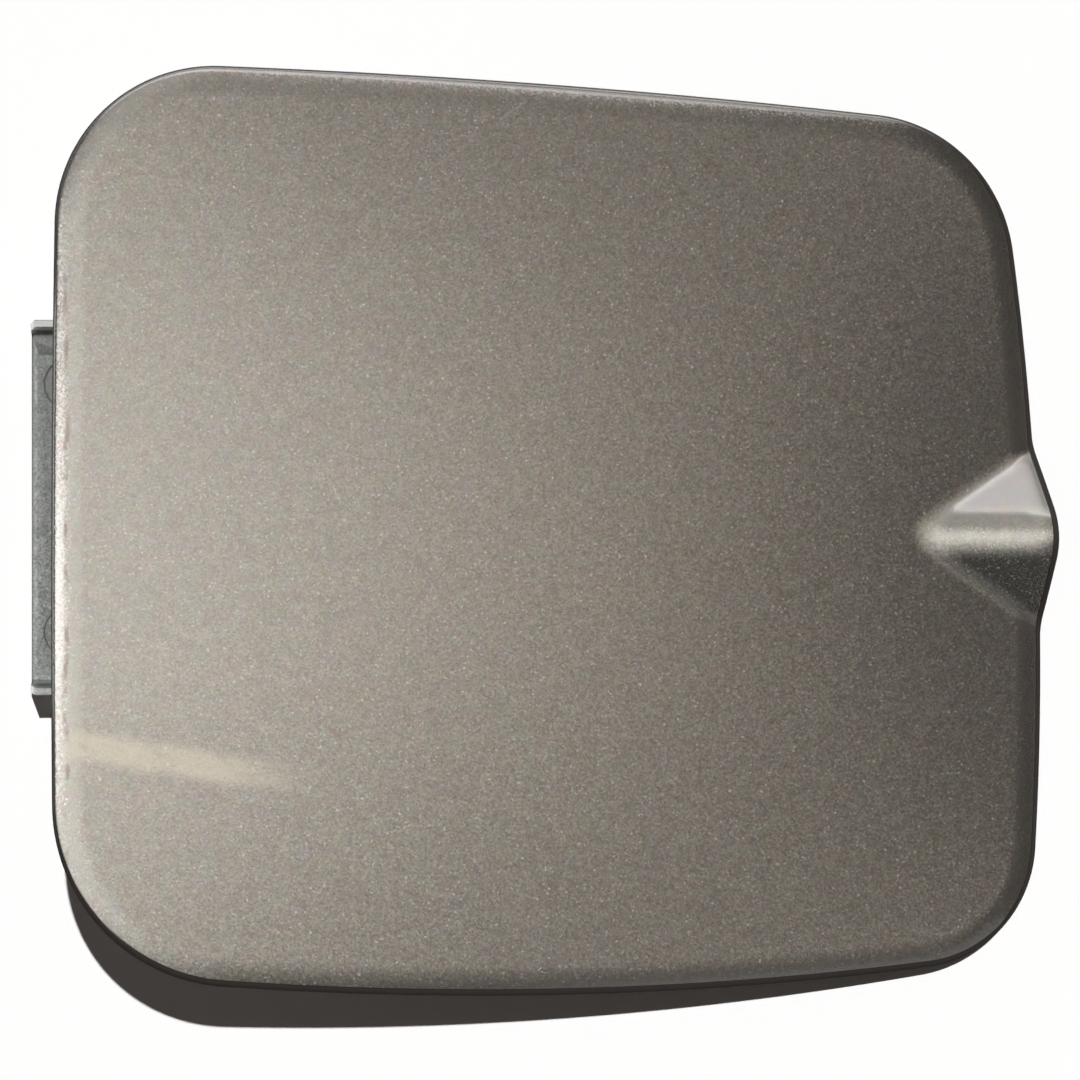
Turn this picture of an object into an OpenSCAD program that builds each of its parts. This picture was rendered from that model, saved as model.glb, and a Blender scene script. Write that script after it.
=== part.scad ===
// Car fuel door with its hinge, lying as it rests: the bracket's plate is flat and
// the pull side of the door touches the same plane.
// Origin: middle of the two bolt holes, on the underside of the bracket's plate.
// +Z points out of the car, +Y up along the hinge pin, +X from the hinge to the pull.

/* [Door outline] */
// Width of the door, from the hinge side to the pull side
door_w = 164; // [150:0.5:180]
// Height of the door at the hinge side
door_h = 147.8; // [130:0.2:165]
// How far the middle of the door lies below the middle of the hinge
door_drop = 3.3; // [0:0.1:8]
// Fall of the top edge towards the pull side
top_taper = 4.8; // [0:0.2:8]
// How far the top of the pull side leans back towards the hinge
side_lean = 3.8; // [0:0.2:8]
// How far the top of the hinge side leans in towards the pull
hinge_lean = 0.4; // [0:0.1:2]
// Corner radius, top of the hinge side
corner_top_hinge = 26; // [18:0.5:34]
// Corner radius, top of the pull side
corner_top_pull = 26; // [18:0.5:36]
// Corner radius, bottom of the pull side
corner_bottom_pull = 21; // [18:0.5:36]
// Corner radius, bottom of the hinge side
corner_bottom_hinge = 30; // [18:0.5:34]
// Outward bow of the pull side
bow_pull = 2.5; // [0:0.1:4]
// Outward bow of the top edge
bow_top = 1; // [0:0.1:4]
// Outward bow of the hinge side
bow_hinge = 0.3; // [0:0.1:1]
// Outward bow of the bottom edge
bow_bottom = 2.9; // [0:0.1:4]

/* [Door skin] */
// Rise of the face from its rounded edge to its middle
crown_h = 3.4; // [2:0.1:6]
// Thickness of the outer sheet
skin_t = 0.8; // [0.6:0.05:1]
// Thickness of the folded rim, front to back
rim_h = 2.8; // [2.6:0.1:3.4]
// Width of the hem folded in behind the rim
hem_w = 8; // [5:0.5:9]
// Width of the rounded edge of the face
edge_w = 5; // [4:0.5:8]
// Slope of the face where it runs into the rim
edge_slope = 16; // [8:1:24]

/* [Finger pull] */
// Rise of the pull at the door's edge
pull_h = 10; // [6:0.5:14]
// Width of the pull along the door's edge
pull_w = 30.6; // [26:0.5:40]
// Length of the pull, from its tip to the door's edge
pull_l = 20; // [15:0.5:26]
// How far the crest lies below the middle of the door
crest_drop = 1; // [0:0.1:2]
// Half width of the rounded crest
crest_w = 4.6; // [2:0.2:6]
// Half height of the soft foot where the pull grows out of the face
foot_h = 1.4; // [0.4:0.1:2]

/* [Inner panel] */
// Thickness of the inner sheet
inner_t = 0.7; // [0.5:0.05:0.8]
// Drop of the inner panel's field below its flange
field_drop = 2; // [1:0.1:2.4]
// Width of the flange and step round the field
step_w = 14; // [12:0.5:17]
// Height of the stiffening bead
bead_h = 1.4; // [0.6:0.1:2]
// Radius of the two drain holes
drain_r = 2.5; // [1.5:0.25:3.5]
// Radius of the pads of sealer between the sheets
sealer_r = 5; // [3:0.5:7]

/* [Hinge] */
// Height of the pin's axis above the plate's underside
pin_h = 20.8; // [19:0.1:24]
// Distance of the pin's axis from the line of the bolt holes
pin_x = 15.4; // [14:0.1:18]
// Distance of the pin's axis from the door's hinge side
pin_in = 14.9; // [14:0.1:16]
// Height of the door's rim above the pin's axis
face_h = 9.6; // [9.4:0.1:11]
// Radius of the pin
pin_r = 2; // [1.5:0.1:2.4]
// Width of the bracket over its two ears
bracket_w = 62.2; // [54:0.2:70]
// Thickness of the bracket's sheet
bracket_t = 1.2; // [1:0.1:1.8]
// Thickness of the arm's sheet
arm_t = 1.5; // [1.2:0.1:1.8]
// Inside radius of the folds
bend_r = 1; // [0.6:0.1:2]
// Distance of the plate's outer edge from the bolt holes
plate_out = 6.3; // [6:0.1:8]
// Distance of the plate's inner edge from the bolt holes
plate_in = 23; // [21:0.5:30]
// Height of the ears at the plate's outer edge
ear_h = 11; // [6:0.5:12]
// How far the ears lean back from the plate's outer edge, at that height
ear_slant = 2.2; // [0.5:0.1:3]
// Radius of the ears round the pin
ear_r = 5; // [4:0.1:5.1]
// Length of the arm behind the pin
arm_l = 26; // [18:0.5:30]

/* [Bolt holes] */
// Distance between the two bolt holes
bolt_gap = 42; // [36:0.5:44]
// Radius of the bolt holes
bolt_r = 2.75; // [2:0.05:3.2]
// Radius of the pressed seats round the bolt holes
seat_r = 4.2; // [4:0.1:5.5]
// Depth of the pressed seats
seat_d = 0.3; // [0.1:0.05:0.5]

/* [Spring] */
// Radius of the spring's wire
wire_r = 0.6; // [0.4:0.05:0.7]
// Turns of the spring
spring_turns = 5; // [3:1:8]
// Gap between the turns
turn_gap = 0.5; // [0.3:0.1:1]

/* [Small parts] */
// Radius of the rivets
rivet_r = 2; // [1.5:0.1:2.5]
// Distance between the two rows of rivets, across the hinge
rivet_gap = 36; // [26:0.5:44]
// Radius of the bumpers
bumper_r = 4.5; // [3.5:0.25:6]
// Height of the bumpers below the inner panel
bumper_h = 2.4; // [1:0.1:3]
// Distance between the two bumpers
bumper_gap = 76; // [56:1:84]
// Width of the cap hook
hook_w = 10; // [6:0.5:16]
// Reach of the cap hook below its base
hook_h = 8; // [5:0.5:9]

/* [Fits] */
// Radial clearance of the pin in its bushes
pin_fit = 0.06; // [0.02:0.01:0.1]
// Radial clearance of pressed and riveted pieces
press_fit = 0.02; // [0.01:0.01:0.05]
// Side clearance between bushes and ears
side_fit = 0.2; // [0.1:0.05:0.4]
// Clearance between the sheets in the hem, and round pieces set in holes
set_fit = 0.15; // [0.1:0.05:0.2]
// Clearance of the swinging door from the bracket
swing_fit = 0.8; // [0.6:0.1:1.2]

/* [Hidden] */

// Door frame: u from the pin's axis to the pull, v along the pin, w out of the car
left_u = -pin_in;
right_u = left_u + door_w;
mid_u = (left_u + right_u) / 2;
mid_v = -door_drop;
top_v = mid_v + door_h / 2;
bottom_v = mid_v - door_h / 2;
back_w = face_h - rim_h;
rim_r = rim_h / 2;
rim_mid = back_w + rim_r;
edge_in = rim_r * (1 - sin(edge_slope));
edge_rise = (edge_w - edge_in) * tan(edge_slope) / 2;
edge_top = rim_mid + rim_r * cos(edge_slope) + edge_rise;
flange_w = back_w + skin_t + set_fit;
field_w = flange_w - field_drop;

// Corner circles, as [u, v, radius], and the bow of the side that follows each
corners = [
    [right_u - corner_bottom_pull, bottom_v + corner_bottom_pull, corner_bottom_pull],
    [right_u - side_lean - corner_top_pull, top_v - top_taper - corner_top_pull, corner_top_pull],
    [left_u + hinge_lean + corner_top_hinge, top_v - corner_top_hinge, corner_top_hinge],
    [left_u + corner_bottom_hinge, bottom_v + corner_bottom_hinge, corner_bottom_hinge]
];
bows = [bow_pull, bow_top, bow_hinge, bow_bottom];

function dir(a) = [cos(a), sin(a)];
function turn(a) = (a % 360 + 360) % 360;
function centre(c) = [c[0], c[1]];

// Outward angle, length and end angle of the side that leaves corner k
function side_run(k) = let (a = corners[k], b = corners[(k + 1) % 4], d = centre(b) - centre(a),
    reach = norm(d), len = sqrt(reach * reach - pow(a[2] - b[2], 2)))
    [atan2(d[1], d[0]) - acos((a[2] - b[2]) / reach), atan2(4 * bows[k], len)];

// The outline, anticlockwise: each corner's arc, then its bowed side
function arc_points(k, n) = let (from = side_run((k + 3) % 4), to = side_run(k),
    start = from[0] + from[1], sweep = turn(to[0] - to[1] - start))
    [for (i = [0:n]) centre(corners[k]) + corners[k][2] * dir(start + sweep * i / n)];
function side_points(k, n) = let (run = side_run(k), a = corners[k], b = corners[(k + 1) % 4],
    p = centre(a) + a[2] * dir(run[0] - run[1]), q = centre(b) + b[2] * dir(run[0] + run[1]))
    [for (i = [1:n - 1]) let (t = i / n) p + (q - p) * t + dir(run[0]) * bows[k] * 4 * t * (1 - t)];
function outline(arc_n, side_n) = [for (k = [0:3])
    each concat(arc_points(k, arc_n), side_points(k, side_n[k]))];

// A ring set in from the outline, then drawn towards the door's middle by a share
function ring(points, inset, share = 0) = let (n = len(points))
    [for (i = [0:n - 1]) let (along = points[(i + 1) % n] - points[(i + n - 1) % n],
        p = points[i] - inset * [along[1], -along[0]] / norm(along))
        p + ([mid_u, mid_v] - p) * share];

// Fall of the rounded edge of the face, and height of the crowned face over that edge
function edge_fall(d) = edge_rise * pow(max(0, edge_w - d) / (edge_w - edge_in), 2);
function crown(p) = let (a = 2 * (p[0] - mid_u) / door_w, b = 2 * (p[1] - mid_v) / door_h)
    crown_h * (1 - a * a) * (1 - b * b);

// Height of the pull over the face: a rounded crest that climbs to the door's edge, on a soft foot
crest_v = mid_v - crest_drop;
flank_slope = 2 * pull_h / (pull_w - crest_w);
function flank_fall(v) = flank_slope * (abs(v) < crest_w ? v * v / (2 * crest_w) : abs(v) - crest_w / 2);
function soft_rise(x) = x > foot_h ? x : pow(max(0, x + foot_h), 2) / (4 * foot_h);
function pull_rise(p) = soft_rise(pull_h * (1 + (p[0] - right_u) / pull_l) - flank_fall(p[1] - crest_v));

function on_face(points, drop) = [for (p = points) [p[0], p[1], edge_top + crown(p) + pull_rise(p) - drop]];
function at_rim(points, w) = [for (p = points) [p[0], p[1], w + pull_rise(p)]];
function level(points, w) = [for (p = points) [p[0], p[1], w]];
// A rise from 0 to 1 that starts and ends flat
function ease(t) = t * t * (3 - 2 * t);

// A closed solid from rings of equal count, ending in a point at each end
module ring_solid(rings, first, last) {
    n = len(rings[0]);
    m = len(rings);
    points = concat([first], [for (r = rings) each r], [last]);
    start_fan = [for (i = [0:n - 1]) [0, 1 + (i + 1) % n, 1 + i]];
    walls = [for (k = [0:m - 2]) for (i = [0:n - 1]) let (a = 1 + k * n, b = a + n, j = (i + 1) % n)
        each [[a + i, a + j, b + j], [a + i, b + j, b + i]]];
    end_fan = [for (i = [0:n - 1]) let (a = 1 + (m - 1) * n) [m * n + 1, a + i, a + (i + 1) % n]];
    polyhedron(points, concat(start_fan, walls, end_fan), convexity = 6);
}

skin_outline = outline(10, [30, 11, 11, 11]);
inner_outline = outline(8, [8, 8, 8, 8]);
reach_u = max([for (p = skin_outline) p[0]]);

// Closed angle at which the rim of the pull side comes down to the plate's own plane
door_tilt = asin((pin_h - rim_r) / norm([reach_u - rim_r, rim_mid])) + atan2(rim_mid, reach_u - rim_r);
swing_r = norm([pin_in, face_h]);
module on_door() {
    translate([pin_x, 0, pin_h])
        rotate([0, door_tilt, 0])
            children();
}
// A shape drawn in the door's u and w, made thick along v about v = at
module across(at, thick) {
    translate([0, at + thick / 2, 0])
        rotate([90, 0, 0])
            linear_extrude(thick)
                children();
}
// A cylinder along v, from v = from to v = to
module along_pin(r, from, to) {
    translate([0, to, 0])
        rotate([90, 0, 0])
            cylinder(r = r, h = to - from, $fn = 48);
}

// Skin of the door: crowned face, finger pull, rolled rim and folded hem in one sheet
module outer_panel() {
    o = skin_outline;
    fold_r = rim_r - skin_t;
    face_in = 9;
    face = [for (s = [0.78, 0.5, 0.3, 0.18, 0.13, 0.08, 0.04]) on_face(ring(o, face_in, s), 0)];
    band = [for (s = [1, 0.6, 0.3]) let (d = edge_in + (edge_w - edge_in) * s)
        on_face(ring(o, d), edge_fall(d))];
    rim_sweep = 180 - edge_slope;
    rim = [for (i = [0:5]) let (a = 90 - edge_slope - rim_sweep * i / 5)
        at_rim(ring(o, rim_r * (1 - cos(a))), rim_mid + rim_r * sin(a))];
    hem = [for (w = [back_w, back_w + skin_t]) at_rim(ring(o, hem_w), w)];
    fold = [for (a = [-90:90:90]) at_rim(ring(o, rim_r - fold_r * cos(a)), rim_mid + fold_r * sin(a))];
    under = [for (d = [edge_w, face_in]) on_face(ring(o, d), skin_t)];
    back = [for (s = [0.05, 0.1, 0.16, 0.3, 0.6]) on_face(ring(o, face_in, s), skin_t)];
    middle = on_face([[mid_u, mid_v]], 0)[0];
    color("#8b857c")
        on_door()
            ring_solid(concat(face, band, rim, hem, fold, under, back), middle, middle - [0, 0, skin_t]);
}

// Places on the inner panel
rivet_u = [3.5, arm_l - 6];
rivet_v = rivet_gap / 2;
bumper_u = right_u - 28;
stud_r = 2;
stud_gap = 16;
bumper_neck_r = bumper_r * 0.55;
notch_u = right_u - pull_l - 3;
notch_r = 4;
hook_u = mid_u;

// Inner panel: a pressed tray whose flange is held in the hem, cut away behind the pull
module inner_panel() {
    o = inner_outline;
    edge = 2;
    flange_in = step_w - 4;
    slopes = [0, 0.3, 0.7, 1];
    top = concat(
        [for (t = slopes) level(ring(o, step_w, 0.7 - 0.05 * t), field_w + bead_h * ease(t))],
        [for (t = slopes) level(ring(o, step_w, 0.56 - 0.05 * t), field_w + bead_h * (1 - ease(t)))],
        [for (t = slopes) level(ring(o, step_w + (flange_in - step_w) * t), field_w + field_drop * ease(t))],
        [level(ring(o, edge), flange_w)]
    );
    raised = [for (r = top) [for (p = r) p + [0, 0, inner_t]]];
    below = [for (k = [len(top) - 1:-1:0]) top[k]];
    middle = [mid_u, mid_v, field_w];
    deep = 20;
    color("#6f6b66")
        on_door()
            difference() {
                ring_solid(concat(raised, below), middle + [0, 0, inner_t], middle);
                translate([notch_u, mid_v - pull_w / 2 - notch_r, 0])
                    cube([deep * 2, pull_w + 2 * notch_r, deep]);
                for (u = rivet_u, v = [-rivet_v, rivet_v])
                    translate([u, v, 0])
                        cylinder(r = rivet_r + press_fit, h = deep, $fn = 32);
                for (v = [-1, 1])
                    translate([bumper_u, mid_v + v * bumper_gap / 2, 0])
                        cylinder(r = bumper_neck_r + set_fit, h = deep, $fn = 32);
                for (u = [-1, 1])
                    translate([hook_u + u * stud_gap / 2, mid_v, 0])
                        cylinder(r = stud_r + set_fit, h = deep, $fn = 32);
                for (u = [-1, 1])
                    translate([mid_u + u * door_w * 0.2, bottom_v + step_w + 10, 0])
                        cylinder(r = drain_r, h = deep, $fn = 32);
            }
}

// Pads of sealer that tie the two sheets together
module sealer_pads() {
    color("#2f3133")
        on_door()
            for (u = [-0.26, 0.26], v = [-0.3, 0.3])
                let (p = [mid_u + u * door_w, mid_v + v * door_h],
                     low = field_w + inner_t + set_fit, high = on_face([p], skin_t + 3 * set_fit)[0][2])
                    translate([p[0], p[1], low])
                        cylinder(r = sealer_r, h = high - low, $fn = 32);
}

// Widths across the hinge, from the bracket inwards
ear_in = bracket_w / 2 - bracket_t;
bush_t = 0.8;
lug_out = ear_in - side_fit - bush_t;
lug_in = lug_out - arm_t;
bush_wall = 1;
bush_r = pin_r + pin_fit + bush_wall;
lug_r = bush_r + 1.5;
arm_top = field_w;
arm_back = -4;

// Where a line from p touches a circle about the origin, on the side s = 1 or -1
function touch(p, r, s) = r * dir(atan2(p[1], p[0]) + s * acos(r / norm(p)));
// A lug across the hinge: round about the pin, with a slightly narrower web to p and q
web_share = 0.94;
web_lap = 0.5;
module lug(r, p, q, wide) {
    along_pin(r, -wide / 2, wide / 2);
    across(0, wide)
        polygon([p, touch(p, r * web_share, -1), touch(q, r * web_share, 1), q]);
}
// Section of a folded channel in v and w, opening upwards from w = 0
module channel_shape(width, height, t) {
    difference() {
        rounded_trough(width, height, bend_r + t);
        translate([0, t])
            rounded_trough(width - 2 * t, height, bend_r);
    }
}
module rounded_trough(width, height, r) {
    translate([-width / 2, r])
        square([width, height - r]);
    translate([-width / 2 + r, 0])
        square([width - 2 * r, height]);
    for (s = [-1, 1])
        translate([s * (width / 2 - r), r])
            circle(r = r, $fn = 32);
}
// That section drawn out along u, from u = from to u = to
module channel(width, height, t, from, to) {
    translate([from, 0, 0])
        rotate([90, 0, 90])
            linear_extrude(to - from)
                channel_shape(width, height, t);
}

// Arm of the door: a folded channel on the inner panel, with a lug at each end of the pin
module hinge_arm() {
    fold_h = arm_t + bend_r;
    web_top = arm_top - fold_h + web_lap;
    color("#77736d")
        on_door()
            difference() {
                intersection() {
                    translate([0, 0, arm_top])
                        mirror([0, 0, 1])
                            channel(2 * lug_out, arm_top + lug_r + 1, arm_t, arm_back, arm_l);
                    union() {
                        translate([arm_back, -bracket_w / 2, arm_top - fold_h])
                            cube([arm_l - arm_back, bracket_w, fold_h]);
                        lug(lug_r, [arm_l * 0.6, web_top], [arm_back, web_top], bracket_w);
                    }
                }
                along_pin(bush_r + press_fit, -bracket_w / 2, bracket_w / 2);
                for (u = rivet_u, v = [-rivet_v, rivet_v])
                    translate([u, v, 0])
                        cylinder(r = rivet_r + press_fit, h = arm_top * 2, $fn = 32);
            }
}

// Rivets through the arm and the inner panel, domed below and flat above
module arm_rivets() {
    dome_r = rivet_r * 1.8;
    dome_h = rivet_r * 0.55;
    ball_r = (dome_r * dome_r + dome_h * dome_h) / (2 * dome_h);
    low = arm_top - arm_t;
    high = field_w + inner_t;
    color("#b9bbbd")
        on_door()
            for (u = rivet_u, v = [-rivet_v, rivet_v])
                translate([u, v, 0]) {
                    translate([0, 0, low])
                        cylinder(r = rivet_r, h = high - low, $fn = 32);
                    translate([0, 0, high])
                        cylinder(r = rivet_r * 1.5, h = rivet_r * 0.4, $fn = 32);
                    intersection() {
                        translate([0, 0, low - dome_h + ball_r])
                            sphere(r = ball_r, $fn = 48);
                        translate([0, 0, low - dome_h])
                            cylinder(r = dome_r, h = dome_h, $fn = 48);
                    }
                }
}

// A flanged bush in one lug, with its flange between the lug and the ear
module bush() {
    tail = 0.4;
    difference() {
        union() {
            along_pin(bush_r, lug_in - tail, lug_out + bush_t);
            along_pin(lug_r - 0.4, lug_out, lug_out + bush_t);
        }
        along_pin(pin_r + pin_fit, lug_in - 2 * tail, bracket_w / 2);
    }
}
module upper_bush() {
    color("#e4dfd0")
        on_door()
            bush();
}
module lower_bush() {
    color("#e4dfd0")
        on_door()
            mirror([0, 1, 0])
                bush();
}

// Bracket: a folded channel bolted to the car, with an ear at each end of the pin.
// Its ears are scooped clear of the circle in which the door's edge swings.
module hinge_bracket() {
    fold_h = bracket_t + bend_r;
    web_out = 6;
    web_low = fold_h - web_lap - pin_h;
    wide = bracket_w + 2;
    color("#565a5e")
        difference() {
            intersection() {
                channel(bracket_w, pin_h + ear_r + 1, bracket_t, -plate_out, plate_in);
                union() {
                    translate([-plate_out, -wide / 2, 0])
                        cube([plate_out + plate_in, wide, fold_h]);
                    difference() {
                        across(0, wide)
                            polygon([
                                [-plate_out, 0], [pin_x - web_out, 0], [pin_x - web_out, ear_h],
                                [ear_slant - plate_out, ear_h], [-plate_out, fold_h]
                            ]);
                        translate([pin_x, 0, pin_h])
                            along_pin(swing_r + swing_fit, -wide, wide);
                    }
                    translate([pin_x, 0, pin_h])
                        lug(ear_r, [-web_out, web_low], [plate_in - pin_x, web_low], wide);
                }
            }
            translate([pin_x, 0, pin_h])
                along_pin(pin_r + press_fit, -bracket_w, bracket_w);
            for (s = [-1, 1])
                translate([0, s * bolt_gap / 2, -1]) {
                    cylinder(r = bolt_r, h = bracket_t + 2, $fn = 48);
                    translate([0, 0, 1 + bracket_t - seat_d])
                        cylinder(r = seat_r, h = seat_d + 1, $fn = 48);
                }
        }
}

// Pin with a head above the upper ear and a grooved tip below the lower ear
clip_t = 0.7;
groove_r = pin_r * 0.75;
groove_v = -bracket_w / 2 - side_fit;
module hinge_pin() {
    head_r = pin_r * 1.7;
    head_h = pin_r * 0.75;
    tip = 1.2;
    tip_v = groove_v - clip_t - 2 * press_fit - tip;
    color("#9a9da0")
        translate([pin_x, 0, pin_h]) {
            along_pin(pin_r, groove_v, bracket_w / 2);
            along_pin(groove_r, groove_v - clip_t - 3 * press_fit, groove_v + press_fit);
            along_pin(pin_r, tip_v, groove_v - clip_t - 2 * press_fit);
            along_pin(head_r, bracket_w / 2, bracket_w / 2 + head_h);
        }
}

// Spring clip in the pin's groove, open at one side
module pin_clip() {
    clip_r = pin_r * 1.9;
    mouth = groove_r * 1.8;
    color("#3c3e40")
        translate([pin_x, groove_v - press_fit, pin_h])
            difference() {
                along_pin(clip_r, -clip_t, 0);
                along_pin(groove_r + press_fit, -clip_t - 1, 1);
                translate([-mouth / 2, -clip_t - 1, -clip_r - 1])
                    cube([mouth, clip_t + 2, clip_r + 1]);
            }
}

// Torsion spring round the pin: foot on the plate, coil, then a leg under the arm
coil_r = pin_r + wire_r + 0.7;
coil_pitch = 2 * wire_r + turn_gap;
coil_v = -16;
function spring_path() = let (n = 14,
    rest_w = bracket_t + wire_r + set_fit - pin_h,
    heel = [plate_in * 0.41 - pin_x, rest_w],
    first = atan2(heel[1], heel[0]) + 360 - acos(coil_r / norm(heel)),
    last = 90 - door_tilt - 360 * spring_turns,
    steps = ceil((first - last) / 360 * n),
    leg = coil_r * dir(last) + dir(-door_tilt) * arm_l * 0.5)
    concat(
        [[heel[0] - 6, coil_v, heel[1]], [heel[0], coil_v, heel[1]]],
        [for (i = [0:steps]) let (a = first + (last - first) * i / steps, p = coil_r * dir(a))
            [p[0], coil_v + coil_pitch * (first - a) / 360, p[1]]],
        [[leg[0], coil_v + coil_pitch * (first - last) / 360, leg[1]]]
    );
function unit(d) = d / norm(d);
// Rings of a round wire along a path, each square to the path there
module wire(path, r, sides) {
    n = len(path);
    rings = [for (i = [0:n - 1])
        let (d = unit(path[min(i + 1, n - 1)] - path[max(i - 1, 0)]),
            e = unit(cross(d, [0, 1, 0.02])), f = cross(d, e))
        [for (k = [0:sides - 1]) let (a = -360 * k / sides) path[i] + r * (cos(a) * e + sin(a) * f)]];
    ring_solid(rings, path[0], path[n - 1]);
}
module hinge_spring() {
    color("#8e9093")
        translate([pin_x, 0, pin_h])
            wire(spring_path(), wire_r, 8);
}

// Rubber bumper pushed into the inner panel, s = 1 for the upper and -1 for the lower
module bumper(s) {
    barb_h = 1.2;
    color("#1d1d1e")
        on_door()
            translate([bumper_u, mid_v + s * bumper_gap / 2, field_w])
                rotate_extrude($fn = 48)
                    polygon([
                        [0, -bumper_h], [bumper_r - 0.8, -bumper_h], [bumper_r, 0.8 - bumper_h],
                        [bumper_r, 0], [bumper_neck_r, 0],
                        [bumper_neck_r, inner_t], [bumper_neck_r + 0.8, inner_t],
                        [bumper_neck_r, inner_t + barb_h], [0, inner_t + barb_h]
                    ]);
}
module upper_bumper() {
    bumper(1);
}
module lower_bumper() {
    bumper(-1);
}

// Moulded hook that holds the filler cap while filling, on two snap studs
module cap_hook() {
    base_t = 1.6;
    base_l = stud_gap + 3 * stud_r;
    arm = 2.4;
    lip = 9;
    head_h = 0.9;
    color("#232527")
        on_door()
            translate([hook_u, mid_v, field_w]) {
                translate([-base_l / 2, -hook_w * 0.8, -base_t])
                    cube([base_l, hook_w * 1.6, base_t]);
                across(0, hook_w)
                    difference() {
                        translate([-lip / 2, -base_t - hook_h])
                            square([lip, hook_h + base_t / 2]);
                        translate([arm - lip / 2, arm - base_t - hook_h])
                            square([lip, hook_h - arm - 1]);
                        translate([-lip / 2 + arm + 2.5, -base_t - hook_h + arm + 1])
                            square([lip, hook_h]);
                    }
                for (u = [-1, 1])
                    translate([u * stud_gap / 2, 0, -base_t / 2]) {
                        cylinder(r = stud_r, h = base_t / 2 + inner_t + set_fit, $fn = 32);
                        translate([0, 0, base_t / 2 + inner_t + set_fit])
                            cylinder(r1 = stud_r + 0.5, r2 = stud_r - 0.3, h = head_h, $fn = 32);
                    }
            }
}

outer_panel();
inner_panel();
sealer_pads();
hinge_arm();
arm_rivets();
upper_bush();
lower_bush();
hinge_spring();
hinge_bracket();
hinge_pin();
pin_clip();
upper_bumper();
lower_bumper();
cap_hook();
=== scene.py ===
"""Looks of a car fuel door that lies face up, held at the left by its hinge bracket.

Everything is in metres, in the frame of the part: z = 0 is the surface that it rests on,
+Y runs up along the hinge pin and +X from the hinge to the finger pull.
"""

import math

import bmesh
import bpy
import numpy as np
from mathutils import Matrix, Vector


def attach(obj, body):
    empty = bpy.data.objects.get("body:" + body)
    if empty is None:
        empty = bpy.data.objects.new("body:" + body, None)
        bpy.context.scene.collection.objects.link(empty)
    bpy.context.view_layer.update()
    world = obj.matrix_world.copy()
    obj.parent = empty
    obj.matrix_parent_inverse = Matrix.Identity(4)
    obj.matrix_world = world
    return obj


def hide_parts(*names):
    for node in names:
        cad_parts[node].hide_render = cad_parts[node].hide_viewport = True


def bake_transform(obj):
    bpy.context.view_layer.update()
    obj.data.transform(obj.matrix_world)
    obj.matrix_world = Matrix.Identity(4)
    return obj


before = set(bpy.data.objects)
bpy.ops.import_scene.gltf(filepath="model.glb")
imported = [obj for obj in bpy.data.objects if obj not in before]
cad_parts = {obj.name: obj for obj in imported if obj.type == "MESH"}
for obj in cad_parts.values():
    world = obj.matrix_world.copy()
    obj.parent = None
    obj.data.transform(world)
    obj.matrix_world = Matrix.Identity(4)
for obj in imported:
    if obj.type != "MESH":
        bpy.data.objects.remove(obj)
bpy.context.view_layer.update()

# Sizes of the door, as in the part's source
MM = 0.001
DOOR_W = 164 * MM
DOOR_H = 147.8 * MM
DOOR_DROP = 3.3 * MM
TOP_TAPER = 4.8 * MM
SIDE_LEAN = 3.8 * MM
HINGE_LEAN = 0.4 * MM
CORNER_TOP_HINGE = 26 * MM
CORNER_TOP_PULL = 26 * MM
CORNER_BOTTOM_PULL = 21 * MM
CORNER_BOTTOM_HINGE = 30 * MM
BOWS = (2.5 * MM, 1 * MM, 0.3 * MM, 2.9 * MM)
CROWN_H = 3.4 * MM
SKIN_T = 0.8 * MM
RIM_H = 2.8 * MM
HEM_W = 8 * MM
EDGE_W = 5 * MM
EDGE_SLOPE = math.radians(16)
PULL_H = 10 * MM
PULL_W = 30.6 * MM
PULL_L = 20 * MM
CREST_DROP = 1 * MM
CREST_W = 4.6 * MM
FOOT_H = 1.4 * MM

# Sizes of the hinge
PIN_X = 15.4 * MM
PIN_H = 20.8 * MM
PIN_IN = 14.9 * MM
FACE_H = 9.6 * MM
PLATE_T = 1.2 * MM
BOLT_GAP = 42 * MM
SEAT_R = 4.2 * MM
EAR_MID = 30.5 * MM

# Dark specks on the face, as x, y and radius
SPECKS = ((132 * MM, 47.2 * MM, 0.25 * MM), (28.9 * MM, 21.5 * MM, 0.2 * MM))

# The door's own axes: u from the pin to the pull, v along the pin, w out of the car
LEFT_U = -PIN_IN
RIGHT_U = LEFT_U + DOOR_W
MID_U = (LEFT_U + RIGHT_U) / 2
MID_V = -DOOR_DROP
TOP_V = MID_V + DOOR_H / 2
BOTTOM_V = MID_V - DOOR_H / 2
BACK_W = FACE_H - RIM_H
RIM_R = RIM_H / 2
RIM_MID = BACK_W + RIM_R
EDGE_IN = RIM_R * (1 - math.sin(EDGE_SLOPE))
EDGE_RISE = (EDGE_W - EDGE_IN) * math.tan(EDGE_SLOPE) / 2
EDGE_TOP = RIM_MID + RIM_R * math.cos(EDGE_SLOPE) + EDGE_RISE
CORNERS = (
    (RIGHT_U - CORNER_BOTTOM_PULL, BOTTOM_V + CORNER_BOTTOM_PULL, CORNER_BOTTOM_PULL),
    (RIGHT_U - SIDE_LEAN - CORNER_TOP_PULL, TOP_V - TOP_TAPER - CORNER_TOP_PULL, CORNER_TOP_PULL),
    (LEFT_U + HINGE_LEAN + CORNER_TOP_HINGE, TOP_V - CORNER_TOP_HINGE, CORNER_TOP_HINGE),
    (LEFT_U + CORNER_BOTTOM_HINGE, BOTTOM_V + CORNER_BOTTOM_HINGE, CORNER_BOTTOM_HINGE),
)


def direction(angle):
    """Unit vector at an angle in the door's plane."""
    return np.array([math.cos(angle), math.sin(angle)])


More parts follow.
